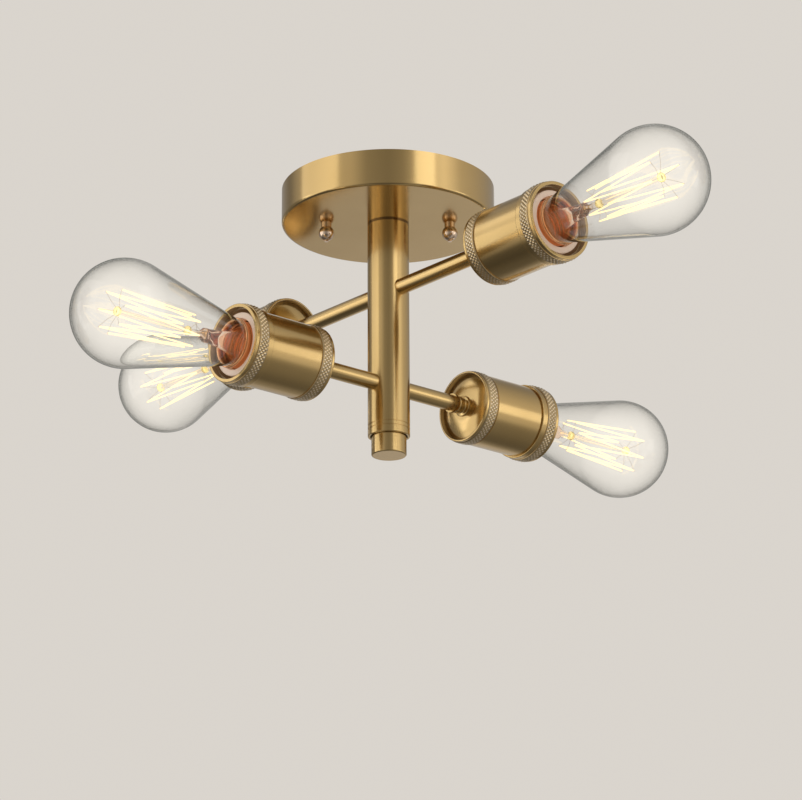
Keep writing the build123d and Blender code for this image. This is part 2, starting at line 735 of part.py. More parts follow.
# Filament: a cage of straight legs that runs up and down between two rings of hooks, the
# support wires that tie the hooks to the buttons, and the two leads from the press.
for n, place in enumerate(seats, 1):
    rim = place.offset(rim_s)
    hooks = []
    for k in range(cage_legs + 1):
        bearing = radians(360 * k / (cage_legs + 1))
        high = k % 2
        ring_r = (cage_low_r, cage_high_r)[high]
        level = (cage_low, cage_high)[high]
        hooks.append((ring_r * cos(bearing), ring_r * sin(bearing), level, bearing, high))
    with BuildPart() as filament:
        for a, b in zip(hooks, hooks[1:]):
            start = rim.from_local_coords(Vector(a[0], a[1], a[2]))
            end = rim.from_local_coords(Vector(b[0], b[1], b[2]))
            way = (end - start).normalized()
            with BuildSketch(Plane(origin=start - way * filament_d / 2, z_dir=way)):
                RegularPolygon(filament_d / 2, 6)
            extrude(amount=(end - start).length + filament_d)
        for x, y, level, bearing, high in hooks[1:-1]:
            out = rim.from_local_coords(Vector(x, y, level))
            anchor_r = button_d / 2
            anchor_u = (low_button, high_button)[high]
            foot = rim.from_local_coords(
                Vector(anchor_r * cos(bearing), anchor_r * sin(bearing), anchor_u)
            )
            way = (out - foot).normalized()
            with BuildSketch(Plane(origin=foot, z_dir=way)):
                RegularPolygon(support_d / 2, 6)
            extrude(amount=(out - foot).length)
        for x, y, level, bearing, high in (hooks[0], hooks[-1]):
            out = rim.from_local_coords(Vector(x, y, level))
            foot = rim.from_local_coords(Vector(press_w / 4, (1 if y > 1 else -1) * press_t / 4, press_top))
            way = (out - foot).normalized()
            with BuildSketch(Plane(origin=foot + way * support_d, z_dir=way)):
                RegularPolygon(support_d / 2, 6)
            extrude(amount=(out - foot).length - support_d)
    filament.part.label = f"filament_{n}"
    export_step(filament.part, f"parts/filament_{n}.step")
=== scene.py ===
from math import cos, pi, radians, sin, sqrt

import bpy
import numpy as np
from mathutils import Matrix, Vector


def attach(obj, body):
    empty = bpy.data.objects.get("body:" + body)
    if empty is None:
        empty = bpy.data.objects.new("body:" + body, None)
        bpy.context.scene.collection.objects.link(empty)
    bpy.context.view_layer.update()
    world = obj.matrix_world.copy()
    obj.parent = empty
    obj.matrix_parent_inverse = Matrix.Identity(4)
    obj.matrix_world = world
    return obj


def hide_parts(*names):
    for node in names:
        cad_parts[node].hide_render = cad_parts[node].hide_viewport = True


# Semi flush ceiling light in satin brass: a round canopy, a stem, two crossed pairs of arms
# and four sockets with clear pear-shaped bulbs. Metres, +Z up, the ceiling plane at z = 0.
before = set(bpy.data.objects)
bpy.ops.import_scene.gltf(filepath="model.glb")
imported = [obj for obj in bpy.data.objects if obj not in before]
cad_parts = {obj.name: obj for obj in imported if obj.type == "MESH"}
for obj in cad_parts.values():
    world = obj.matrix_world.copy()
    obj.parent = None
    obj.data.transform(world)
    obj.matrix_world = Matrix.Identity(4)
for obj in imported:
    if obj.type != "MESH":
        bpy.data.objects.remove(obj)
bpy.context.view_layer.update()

# --- camera --------------------------------------------------------------------------------
# A long lens below the fixture, a little left of its middle, that looks up at it from where
# the photograph was taken.
camera_spot = Vector((-0.01540, -1.57773, -0.66070))
camera_yaw, camera_pitch, camera_roll = radians(0.805), radians(18.741), radians(-0.3)
camera_data = bpy.data.cameras.new("camera")
camera_data.sensor_width = 36.0
camera_data.lens = 134.62
camera_data.clip_start, camera_data.clip_end = 0.05, 30.0
camera = bpy.data.objects.new("camera", camera_data)
bpy.context.scene.collection.objects.link(camera)
ahead = Vector((
    sin(camera_yaw) * cos(camera_pitch),
    cos(camera_yaw) * cos(camera_pitch),
    sin(camera_pitch),
))
level_right = Vector((cos(camera_yaw), -sin(camera_yaw), 0))
level_up = level_right.cross(ahead)
right = level_right * cos(camera_roll) + level_up * sin(camera_roll)
upright = level_up * cos(camera_roll) - level_right * sin(camera_roll)
camera.matrix_world = Matrix.Translation(camera_spot) @ Matrix(
    (right, upright, -ahead)
).transposed().to_4x4()
bpy.context.scene.camera = camera
bpy.context.scene.view_settings.view_transform = "Standard"


# --- floor, backdrop and lamps -------------------------------------------------------------
# A pale floor far below and a plain warm grey backdrop. The room is bright at eye level,
# dimmer overhead, dark below and behind the camera, with two pale wall panels at the left
# and soft boxes at the left and at the right.
def blank_nodes(owner):
    """Node tree of a material or world with its default nodes taken out."""
    owner.use_nodes = True
    owner.node_tree.nodes.clear()
    return owner.node_tree


def node(tree, kind, settings=None, **inputs):
    """New node with its settings, and its sockets set to values or linked to other sockets.

    A socket goes by its name, with _ for a space, or by the letter i and its number.
    """
    made = tree.nodes.new(kind)
    for key, value in (settings or {}).items():
        setattr(made, key, value)
    for key, value in inputs.items():
        numbered = key[0] == "i" and key[1:].isdigit()
        socket = made.inputs[int(key[1:]) if numbered else key.replace("_", " ")]
        if isinstance(value, bpy.types.NodeSocket):
            tree.links.new(value, socket)
        else:
            socket.default_value = value
    return made


def math_node(tree, operation, *terms):
    """Output of one Math node; each term is a number or a socket."""
    made = tree.nodes.new("ShaderNodeMath")
    made.operation = operation
    for socket, term in zip(made.inputs, terms):
        if isinstance(term, bpy.types.NodeSocket):
            tree.links.new(term, socket)
        else:
            socket.default_value = term
    return made.outputs[0]


def map_range(tree, source, start, stop, low=0.0, high=1.0, course="LINEAR"):
    """Value that goes from low to high, and no further, as source goes from start to stop."""
    return node(
        tree,
        "ShaderNodeMapRange",
        {"interpolation_type": course},
        Value=source,
        From_Min=start,
        From_Max=stop,
        To_Min=low,
        To_Max=high,
    ).outputs[0]


def toward(turn, rise):
    """Direction (sin t cos r, -cos t cos r, sin r), t degrees from the camera's side, r up."""
    t, r = radians(turn), radians(rise)
    return Vector((sin(t) * cos(r), -cos(t) * cos(r), sin(r)))


def new_material(name):
    """Material without nodes, and its tree."""
    made = bpy.data.materials.new(name)
    return made, blank_nodes(made)


def finish_skin(tree, **sockets):
    """Leads a Principled surface with the given sockets to the material's output."""
    skin = node(tree, "ShaderNodeBsdfPrincipled", **sockets)
    node(tree, "ShaderNodeOutputMaterial", Surface=skin.outputs[0])


backdrop_colour = (0.70, 0.662, 0.612, 1)
room_by_height = (
    # upward part of the direction, share of the backdrop's brightness
    (-1.0, 0.5), (-0.82, 0.44), (-0.62, 0.42), (-0.5, 0.5), (-0.38, 0.95),
    (0.0, 1.0), (0.46, 1.0), (0.76, 0.8), (1.0, 0.6),
)
room_by_bearing = (
    # degrees from the camera's side, positive to the right, and a share as above
    (-180, 0.7), (-170, 0.42), (-155, 0.38), (-128, 0.24), (-105, 0.36), (-62, 0.8),
    (-40, 0.8), (-24, 0.42), (0, 0.33), (16, 0.42), (30, 0.75), (45, 0.9), (62, 1.5),
    (72, 1.2), (84, 0.82), (104, 0.7), (135, 0.5), (160, 0.42), (174, 0.85), (180, 0.7),
)
wall_panels = (
    # bearing, elevation and half angle in degrees, and how many times brighter it is there
    (-114, 43, 27, 2.5),
    (-98, -22, 17, 2.2),
)
panel_core = 0.4  # share of the half angle that has the full brightness


def shade_ramp(tree, source, stops):
    """Value of a ramp that runs through (place, share) stops with source from 0 to 1."""
    ramp = node(tree, "ShaderNodeValToRGB", Fac=source)
    elements = ramp.color_ramp.elements
    for index, (place, share) in enumerate(stops):
        stop = elements[index] if index < 2 else elements.new(1.0)
        stop.position = place
        stop.color = (share, share, share, 1)
    return ramp.outputs["Color"]


world = bpy.data.worlds.new("studio")
bpy.context.scene.world = world
tree = blank_nodes(world)
facing_vector = node(tree, "ShaderNodeTexCoord").outputs["Generated"]
facing = node(tree, "ShaderNodeSeparateXYZ", Vector=facing_vector).outputs
bearing = math_node(
    tree, "ARCTAN2", facing["X"], math_node(tree, "MULTIPLY", facing["Y"], -1.0)
)
height_fall = shade_ramp(
    tree,
    math_node(tree, "MULTIPLY_ADD", facing["Z"], 0.5, 0.5),
    [((rise + 1) / 2, share) for rise, share in room_by_height],
)
bearing_fall = shade_ramp(
    tree,
    math_node(tree, "MULTIPLY_ADD", bearing, 0.5 / pi, 0.5),
    [(turn / 360 + 0.5, share) for turn, share in room_by_bearing],
)
light_fall = math_node(tree, "MULTIPLY", height_fall, bearing_fall)
for turn, rise, half_angle, times in wall_panels:
    near = node(
        tree,
        "ShaderNodeVectorMath",
        {"operation": "DOT_PRODUCT"},
        i0=facing_vector,
        i1=toward(turn, rise),
    ).outputs["Value"]
    edge, core = cos(radians(half_angle)), cos(radians(panel_core * half_angle))
    panel = map_range(tree, near, edge, core, 1.0, times, "SMOOTHSTEP")
    light_fall = math_node(tree, "MULTIPLY", light_fall, panel)
path = node(tree, "ShaderNodeLightPath").outputs
plain_view = math_node(tree, "MAXIMUM", path["Is Camera Ray"], path["Is Transmission Ray"])
plain_view = math_node(tree, "MAXIMUM", plain_view, path["Is Diffuse Ray"])
room = node(tree, "ShaderNodeBackground", Color=backdrop_colour, Strength=light_fall)
plain = node(tree, "ShaderNodeBackground", Color=backdrop_colour, Strength=1.0)
seen = node(tree, "ShaderNodeMixShader", i0=plain_view, i1=room.outputs[0], i2=plain.outputs[0])
node(tree, "ShaderNodeOutputWorld", Surface=seen.outputs[0])

floor_size, floor_level, floor_colour = 50, -2.5, (0.9, 0.87, 0.83, 1)
bpy.ops.mesh.primitive_plane_add(size=floor_size, location=(0, 0, floor_level))
floor = bpy.context.object
floor.name = "floor"
floor.visible_glossy = False
floor_paint, tree = new_material("floor_paint")
finish_skin(tree, Base_Color=floor_colour, Roughness=0.9)
floor.data.materials.append(floor_paint)

lamp_distance, lamp_colour = 1.5, (1.0, 0.965, 0.91)
soft_boxes = (
    # name, bearing and elevation in degrees, width, height, radiance
    ("box_left", -80, 10, 1.35, 1.9, 0.58),
    ("strip_right", 39, 20, 0.55, 1.0, 0.85),
    ("box_right", 80, -2, 0.4, 0.55, 0.75),
    ("spot_left", -97, 2, 0.25, 0.6, 0.8),
)
for name, turn, rise, width, height, radiance in soft_boxes:
    lamp = bpy.data.lights.new(name, "AREA")
    lamp.shape, lamp.size, lamp.size_y = "RECTANGLE", width, height
    lamp.energy = radiance * pi * width * height
    lamp.color = lamp_colour
    lamp_object = bpy.data.objects.new(name, lamp)
    bpy.context.scene.collection.objects.link(lamp_object)
    lamp_object.visible_transmission = False
    spot = toward(turn, rise) * lamp_distance
    lamp_object.matrix_world = (
        Matrix.Translation(spot) @ spot.to_track_quat("Z", "Y").to_matrix().to_4x4()
    )


# --- canopy --------------------------------------------------------------------------------
# A pan spun from brass sheet, satin polished with fine rings round its axis and lacquered.
# Its flat underside is the smoothest face of the fixture and mirrors the stem softly.
def effect_group(name, takes, gives):
    """Empty shader node group; takes and gives list (socket name, kind, default)."""
    group = bpy.data.node_groups.new(name, "ShaderNodeTree")
    for direction, sockets in (("INPUT", takes), ("OUTPUT", gives)):
        for label, kind, default in sockets:
            socket = group.interface.new_socket(
                label, in_out=direction, socket_type="NodeSocket" + kind
            )
            if default is not None:
                socket.default_value = default
    entry = group.nodes.new("NodeGroupInput").outputs
    leave = group.nodes.new("NodeGroupOutput").inputs
    return group, entry, leave


def blend(tree, amount, start, stop):
    """Colour that goes from start to stop as amount goes from 0 to 1."""
    mixed = node(tree, "ShaderNodeMix", {"data_type": "RGBA"}, i0=amount, i6=start, i7=stop)
    return mixed.outputs[2]


# Lathe marks: fine rings whose spacing follows the distance along the axis and the radius.
lathe_marks, entry, leave = effect_group(
    "lathe_marks",
    (("Along", "Float", 0.0), ("Radius", "Float", 0.0), ("Rings per metre", "Float", 5000.0)),
    (("Ring", "Float", None),),
)
ring_place = node(
    lathe_marks,
    "ShaderNodeCombineXYZ",
    X=math_node(lathe_marks, "MULTIPLY", entry["Along"], entry["Rings per metre"]),
    Y=math_node(lathe_marks, "MULTIPLY", entry["Radius"], entry["Rings per metre"]),
)
ring_noise = node(
    lathe_marks,
    "ShaderNodeTexNoise",
    {"noise_dimensions": "2D"},
    Vector=ring_place.outputs[0],
    Scale=1.0,
    Detail=3.0,
    Roughness=0.65,
)
lathe_marks.links.new(ring_noise.outputs["Fac"], leave["Ring"])

# Knurl sheen: crests made pale by a painted sheen, and darker valleys, from -1 in the valleys
# to 1 on the crests.
knurl_sheen_and_valleys, entry, leave = effect_group(
    "knurl_sheen_and_valleys",
    (
        ("Colour", "Color", None),
        ("Height", "Float", 0.0),
        ("Crest", "Color", (1.0, 0.92, 0.78, 1)),
        ("Valley", "Color", (0.42, 0.33, 0.21, 1)),
    ),
    (("Colour", "Color", None), ("Worn", "Float", None)),
)
sunken = math_node(
    knurl_sheen_and_valleys, "MAXIMUM", math_node(knurl_sheen_and_valleys, "MULTIPLY", entry["Height"], -1.0), 0.0
)
raised = math_node(knurl_sheen_and_valleys, "MAXIMUM", entry["Height"], 0.0)
shaded = blend(knurl_sheen_and_valleys, sunken, entry["Colour"], entry["Valley"])
knurl_sheen_and_valleys.links.new(blend(knurl_sheen_and_valleys, raised, shaded, entry["Crest"]), leave["Colour"])
knurl_sheen_and_valleys.links.new(math_node(knurl_sheen_and_valleys, "ABSOLUTE", entry["Height"]), leave["Worn"])

# Lacquer drift: a slow change of tone and gloss over centimetres, as hand buffing leaves.
lacquer_drift, entry, leave = effect_group(
    "lacquer_drift",
    (
        ("Vector", "Vector", None),
        ("Pale", "Color", (0.7, 0.5, 0.24, 1)),
        ("Deep", "Color", (0.6, 0.4, 0.17, 1)),
        ("Spots per metre", "Float", 30.0),
    ),
    (("Colour", "Color", None), ("Cloud", "Float", None)),
)
drift_noise = node(
    lacquer_drift,
    "ShaderNodeTexNoise",
    Vector=entry["Vector"],
    Scale=entry["Spots per metre"],
    Detail=2.0,
    Roughness=0.5,
)
drift_colour = blend(
    lacquer_drift, drift_noise.outputs["Fac"], entry["Pale"], entry["Deep"]
)
lacquer_drift.links.new(drift_colour, leave["Colour"])
lacquer_drift.links.new(drift_noise.outputs["Fac"], leave["Cloud"])


def drifting(tree, where, pale, deep, spots_per_metre=30.0):
    """Outputs of the lacquer drift, placed in a material with its own colours and scale."""
    return node(
        tree,
        "ShaderNodeGroup",
        {"node_tree": lacquer_drift},
        Vector=where,
        Pale=pale,
        Deep=deep,
        Spots_per_metre=spots_per_metre,
    ).outputs


def turning_parts(tree):
    """Parts of the attribute "turning": distance along the axis, radius and knurl height."""
    turning = node(tree, "ShaderNodeAttribute", {"attribute_name": "turning"})
    return node(tree, "ShaderNodeSeparateXYZ", Vector=turning.outputs["Vector"]).outputs


def relief(tree, height, depth, strength):
    """Normal over waves whose height goes from 0 to 1, for a depth in metres."""
    bump = node(tree, "ShaderNodeBump", Height=height, Distance=depth, Strength=strength)
    return bump.outputs[0]


ring_depth, coat_roughness, worn_roughness = 0.00001, 0.12, 0.2
# a painted shadow line: its colour, and the distances from its middle where it is full and
# where it is gone
painted_shadow_colour, painted_shadow_dark_to, painted_shadow_gone_at = (0.2, 0.12, 0.05, 1), 0.0002, 0.0007


def brass(
    name, pale, deep, gloss, rings=5000.0, turned_attribute=True, lacquer=0.6, painted_shadow_z=None
):
    """Satin brass with lathe rings under lacquer; gloss is the (lowest, highest) roughness.

    Pieces turned in this file carry their distance along the axis, radius and knurl height
    in the attribute "turning"; the others stand on the fixture's own upright axis, and may
    have a painted shadow line round them at a given height.
    """
    made, tree = new_material(name)
    where = node(tree, "ShaderNodeTexCoord").outputs["Object"]
    if turned_attribute:
        parts = turning_parts(tree)
        along, radius = parts["X"], parts["Y"]
    else:
        parts = node(tree, "ShaderNodeSeparateXYZ", Vector=where).outputs
        flat = node(tree, "ShaderNodeCombineXYZ", X=parts["X"], Y=parts["Y"]).outputs[0]
        off_axis = node(tree, "ShaderNodeVectorMath", {"operation": "LENGTH"}, i0=flat)
        along, radius = parts["Z"], off_axis.outputs["Value"]
    marks = node(
        tree,
        "ShaderNodeGroup",
        {"node_tree": lathe_marks},
        Along=along,
        Radius=radius,
        Rings_per_metre=rings,
    ).outputs
    drift = drifting(tree, where, pale, deep)
    colour = drift["Colour"]
    ring_gloss = math_node(tree, "MULTIPLY", marks["Ring"], 0.5)
    cloud_gloss = math_node(tree, "MULTIPLY_ADD", drift["Cloud"], 0.5, ring_gloss)
    rough = map_range(tree, cloud_gloss, 0.25, 0.75, *gloss)
    # knurled pieces: a painted sheen on the crests, and darker valleys and bore
    if turned_attribute:
        knurl = node(
            tree,
            "ShaderNodeGroup",
            {"node_tree": knurl_sheen_and_valleys},
            Colour=colour,
            Height=parts["Z"],
        ).outputs
        colour = knurl["Colour"]
        rough = math_node(tree, "MULTIPLY_ADD", knurl["Worn"], worn_roughness, rough)
    # painted shadow line round the piece at the given height
    if painted_shadow_z is not None:
        below_painted_shadow = math_node(tree, "SUBTRACT", parts["Z"], painted_shadow_z)
        off_painted_shadow = math_node(tree, "ABSOLUTE", below_painted_shadow)
        painted_shadow_line = map_range(tree, off_painted_shadow, painted_shadow_dark_to, painted_shadow_gone_at, 1.0, 0.0)
        colour = blend(tree, painted_shadow_line, colour, painted_shadow_colour)
    finish_skin(
        tree,
        Base_Color=colour,
        Metallic=1.0,
        Roughness=rough,
        Coat_Weight=lacquer,
        Coat_Roughness=coat_roughness,
        Normal=relief(tree, marks["Ring"], ring_depth, 0.5),
    )
    return made


def dress(names, material):
    """Gives CAD nodes one material."""
    for name in names:
        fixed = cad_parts[name]
        fixed.data.materials.clear()
        fixed.data.materials.append(material)


brass_pale, brass_deep = (0.74, 0.53, 0.23, 1), (0.66, 0.45, 0.17, 1)
canopy_brass = brass(
    "canopy_brass", brass_pale, brass_deep, (0.14, 0.2), turned_attribute=False
)
dress(["canopy"], canopy_brass)


# --- mounting bar, studs, nipple and nuts --------------------------------------------------
# Punched and turned steel, bright zinc plated with a faint blue cast; the bar and its nuts
# sit inside the canopy. The ground screw is dyed green.
crystals_per_metre, plate_spots, plate_depth = 450.0, 120.0, 0.00002


def plated_steel(name, pale, deep, gloss):
    """Zinc plate: a cool grey with fine crystal spangle; gloss as for the brass."""
    made, tree = new_material(name)
    where = node(tree, "ShaderNodeTexCoord").outputs["Object"]
    crystals = node(tree, "ShaderNodeTexVoronoi", Vector=where, Scale=crystals_per_metre)
    grey = node(tree, "ShaderNodeSeparateXYZ", Vector=crystals.outputs["Color"]).outputs["X"]
    drift = drifting(tree, where, pale, deep, plate_spots)
    finish_skin(
        tree,
        Base_Color=drift["Colour"],
        Metallic=1.0,
        Roughness=map_range(tree, grey, 0.0, 1.0, *gloss),
        Normal=relief(tree, drift["Cloud"], plate_depth, 0.4),
    )
    return made


zinc = plated_steel("zinc_plate", (0.72, 0.73, 0.74, 1), (0.5, 0.52, 0.55, 1), (0.25, 0.42))
dress(["mounting_bar", "canopy_studs", "stem_nipple", "stem_nut"], zinc)
green_dye = plated_steel(
    "green_dye", (0.05, 0.36, 0.13, 1), (0.02, 0.22, 0.07, 1), (0.3, 0.45)
)
dress(["ground_screw"], green_dye)

# --- ball nuts -----------------------------------------------------------------------------
# Small solid brass balls, barrel polished brighter than the sheet above them, that screw up
# on the canopy studs by hand.
ball_brass = brass(
    "ball_brass",
    (0.92, 0.74, 0.58, 1),
    (0.84, 0.63, 0.46, 1),
    (0.07, 0.13),
    turned_attribute=False,
)
dress(["ball_nuts"], ball_brass)

# --- stem, its plugs and hubs, and the end cap ---------------------------------------------
# A straight brass tube with two turned lines near its foot; the hubs and plugs are pressed
# inside it, and the turned end cap screws up into the lowest plug.
# a painted shadow line round the stem just below the canopy, where the stem's top meets it
top_painted_shadow_z = -0.0214  # just below the canopy, which the stem's top meets in a dark line
stem_brass = brass(
    "stem_brass",
    brass_pale,
    brass_deep,
    (0.18, 0.25),
    turned_attribute=False,
    painted_shadow_z=top_painted_shadow_z,
)
dress(["stem_tube", "end_cap"], stem_brass)
raw_brass = brass(
    "raw_brass",
    (0.66, 0.47, 0.2, 1),
    (0.52, 0.34, 0.13, 1),
    (0.3, 0.42),
    turned_attribute=False,
)
dress(["stem_plug", "arm_hub_upper", "arm_hub_lower", "end_plug"], raw_brass)

# --- arms and collars ----------------------------------------------------------------------
# Drawn tubes from the hubs, closed by thin turned collars, in the same satin lacquer as the
# stem.
dress([f"arm_{n}" for n in range(1, 5)] + ["arm_collars"], stem_brass)


# --- socket domes --------------------------------------------------------------------------
# Spun brass backs, pressed into the cups' rear ends: a flat crown for the neck, then a
# shoulder that falls away to the wall.
mm = 0.001


def eased(corners, bend_steps=4):
    """Line through corners given as (coordinates..., ease) in millimetres, in metres.

    A corner with an ease becomes the curve (1-t)^2 a + 2t(1-t) c + t^2 b between the points
    a and b that lie that far from the corner c along its two sides. A point a fifth further
    out on each side keeps the shading of the flat faces straight, and these points stay on
    their own half of a side.
    """
    guard, side_share = 1.2, 0.49
    corners = np.asarray(corners, float)
    points, ease = corners[:, :-1], corners[:, -1]
    line = []
    for i, (here, e) in enumerate(zip(points, ease)):
        if e <= 0:
            line.append(here[None])
            continue
        before, after = points[i - 1] - here, points[(i + 1) % len(points)] - here
        before_l, after_l = np.linalg.norm(before), np.linalg.norm(after)
        e = min(e, side_share * min(before_l, after_l) / guard)
        a, b = before / before_l, after / after_l
        t = np.linspace(0, 1, bend_steps + 1)[:, None]
        bend = e * ((1 - t) ** 2 * a + t**2 * b)
        line.append(here + np.vstack([guard * e * a, bend, guard * e * b]))
    return np.vstack(line) * mm


def seat(turn, level, reach):
    """Place of a socket: origin, up, across and out (along the arm), millimetres to metres."""
    out = np.array([cos(radians(turn)), sin(radians(turn)), 0.0])
    up = np.array([0.0, 0.0, 1.0])
    return (out * reach + up * level) * mm, up, np.cross(out, up), out


def spun(outline, place, turns=160, ends=None, crests=None, tone=0.0):
    """Skin of a turned piece: an outline carried once round the axis of its place.

    Row i, column j = origin + s_i out + r_ij (cos a_j up + sin a_j across), with a_j =
    2 pi j / turns, s the distance along the axis and r the radius. Rows close on themselves,
    or on two end points on the axis. crests adds to the radius, row by row and column by
    column, and tone is kept with each point for the brass.
    """
    origin, up, across, out = place
    s, r = outline[:, 0][:, None], outline[:, 1][:, None]
    if crests is not None:
        r = r + crests
    a = 2 * pi * np.arange(turns) / turns
    round_it = np.cos(a)[:, None] * up + np.sin(a)[:, None] * across
    grid = origin + s[..., None] * out + (r + 0 * a)[..., None] * round_it
    marks = np.stack([s + 0 * a, r + 0 * a, tone + 0 * (s + a)], -1)
    if ends is not None:
        ends = [origin + end * out for end in ends]
    return grid, marks, ends


crease_angle = radians(32)


def joined(name, skins, materials):
    """Object made of closed grids of points, with a material each and smooth between creases.

    Each point is joined to its four neighbours. The columns wrap, and so do the rows, unless
    they end on two points. The volume's sign turns the faces outwards. Where a skin has
    diagonals, 1 and 2 say which way a face is split.
    """
    all_points, all_marks, all_faces, all_paint = [], [], [], []
    total = 0
    for index, skin in enumerate(skins):
        grid, marks, ends, diagonals = (*skin, None)[:4]
        rows, columns = grid.shape[:2]
        points, mark = grid.reshape(-1, 3), marks.reshape(-1, 3)
        i, j = np.meshgrid(
            np.arange(rows if ends is None else rows - 1), np.arange(columns), indexing="ij"
        )
        below, beside = (i + 1) % rows, (j + 1) % columns
        a, b = i * columns + j, i * columns + beside
        c, d = below * columns + beside, below * columns + j
        quads = np.stack([a, b, c, d], -1)
        triangles = np.zeros((0, 3), int)
        if diagonals is not None:
            way = diagonals[: quads.shape[0]]
            first, second = quads[way == 1], quads[way == 2]
            triangles = np.vstack([
                first[:, [0, 1, 2]],
                first[:, [0, 2, 3]],
                second[:, [0, 1, 3]],
                second[:, [1, 2, 3]],
            ])
            quads = quads[way == 0]
        quads = quads.reshape(-1, 4)
        if ends is not None:
            count = len(points)
            k = np.arange(columns)
            start = np.stack([k * 0 + count, (k + 1) % columns, k], -1)
            last = (rows - 1) * columns
            finish = np.stack([k * 0 + count + 1, last + k, last + (k + 1) % columns], -1)
            triangles = np.vstack([triangles, start, finish])
            points = np.vstack([points, ends])
            on_axis = [1, 0, 1]  # an end point keeps its row's marks, but its radius is 0
            mark = np.vstack([mark, mark[:1] * on_axis, mark[-1:] * on_axis])
        solid = np.vstack([triangles, quads[:, [0, 1, 2]], quads[:, [0, 2, 3]]])
        p, q, w = (points[solid[:, m]] - points.mean(0) for m in range(3))
        if np.einsum("ij,ij->", p, np.cross(q, w)) < 0:
            quads, triangles = quads[:, ::-1], triangles[:, ::-1]
        all_faces += (quads + total).tolist() + (triangles + total).tolist()
        all_paint += [index % len(materials)] * (len(quads) + len(triangles))
        all_points.append(points)
        all_marks.append(mark)
        total += len(points)
    mesh = bpy.data.meshes.new(name)
    mesh.from_pydata(np.vstack(all_points).tolist(), [], all_faces)
    mesh.polygons.foreach_set("use_smooth", np.ones(len(all_faces), bool))
    mesh.polygons.foreach_set("material_index", all_paint)
    turning = mesh.attributes.new("turning", "FLOAT_VECTOR", "POINT")
    turning.data.foreach_set("vector", np.vstack(all_marks).astype(np.float32).ravel())
    for material in materials:
        mesh.materials.append(material)
    mesh.set_sharp_from_angle(angle=crease_angle)
    made = bpy.data.objects.new(name, mesh)
    bpy.context.scene.collection.objects.link(made)
    return made


upper_level, upper_reach, lower_level, lower_reach = -61.2, 85.5, -117.0, 55.5
socket_seats = [
    seat(-50, upper_level, upper_reach),
    seat(-140, lower_level, lower_reach),
    seat(130, upper_level, upper_reach),
    seat(40, lower_level, lower_reach),
]
cup_bore_r, cup_r = 19.3, 20.5
dome_r, dome_h, dome_skirt, dome_wall, crown_r, neck_hole_r = 19.25, 3.0, 6.0, 1.0, 7.5, 4.9
inner_flattening = 0.65  # how much less the inner arc rises, as a share of its depth


def dome_fall(depth):
    """Arc from the flat crown to the wall, as deep as that inside the dome's outer face.

    Distance = depth + R (1 - cos a) and radius = c + R sin a, with c the crown's radius.
    """
    rise, run = dome_h - depth * inner_flattening, dome_r - depth - crown_r
    sweep = (run**2 + rise**2) / (2 * rise)
    a = np.linspace(0, np.arcsin(run / sweep), 17)
    return np.stack([depth + sweep * (1 - np.cos(a)), crown_r + sweep * np.sin(a), 0 * a], -1)


spun_brass = brass("spun_brass", brass_pale, brass_deep, (0.17, 0.25), rings=3500.0)
dome_line = eased(np.vstack([
    [(0.0, neck_hole_r, 0)],
    dome_fall(0.0),
    [(dome_h + dome_skirt, dome_r, 0.2), (dome_h + dome_skirt, dome_r - dome_wall, 0.2)],
    dome_fall(dome_wall)[::-1],
    [(dome_wall, neck_hole_r, 0)],
]))
for n, place in enumerate(socket_seats, 1):
    dome = joined(f"spun_dome_{n}", [spun(dome_line, place)], [spun_brass])
    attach(dome, "fixture")
    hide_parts(f"socket_dome_{n}")

# --- necks ---------------------------------------------------------------------------------
# One turned brass neck per socket: a spigot pressed into the arm, a bead round the waist, a
# flange on the dome's crown, and a thread that carries the lampholder.
small_turns = 64
neck_line = eased([
    (-17.2, 2.0, 0),
    (-17.2, 3.2, 0.2),
    (-7.75, 3.2, 0),
    (-7.75, 4.0, 0),
    (-6.6, 3.8, 0.3),
    (-5.9, 4.9, 0.4),
    (-3.6, 4.9, 0.4),
    (-2.9, 3.9, 0.4),
    (-1.3, 4.0, 0.5),
    (-0.9, 6.0, 0.35),
    (-0.05, 6.0, 0.1),
    (-0.05, 4.8, 0),
    (9.0, 4.8, 0.2),
    (9.0, 2.0, 0),
])
neck_skins = [spun(neck_line, place, small_turns) for place in socket_seats]
necks = joined("turned_necks", neck_skins, [spun_brass])
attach(necks, "fixture")
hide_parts("socket_necks")


# --- cups ----------------------------------------------------------------------------------
# Turned brass tubes. Behind a narrow groove the rear band is rolled with a fine diamond
# knurl, and the rim behind it is rounded and catches a thin bright line.
knurl_count, knurl_rows = 60, 5
knurl_turns = 4 * knurl_count


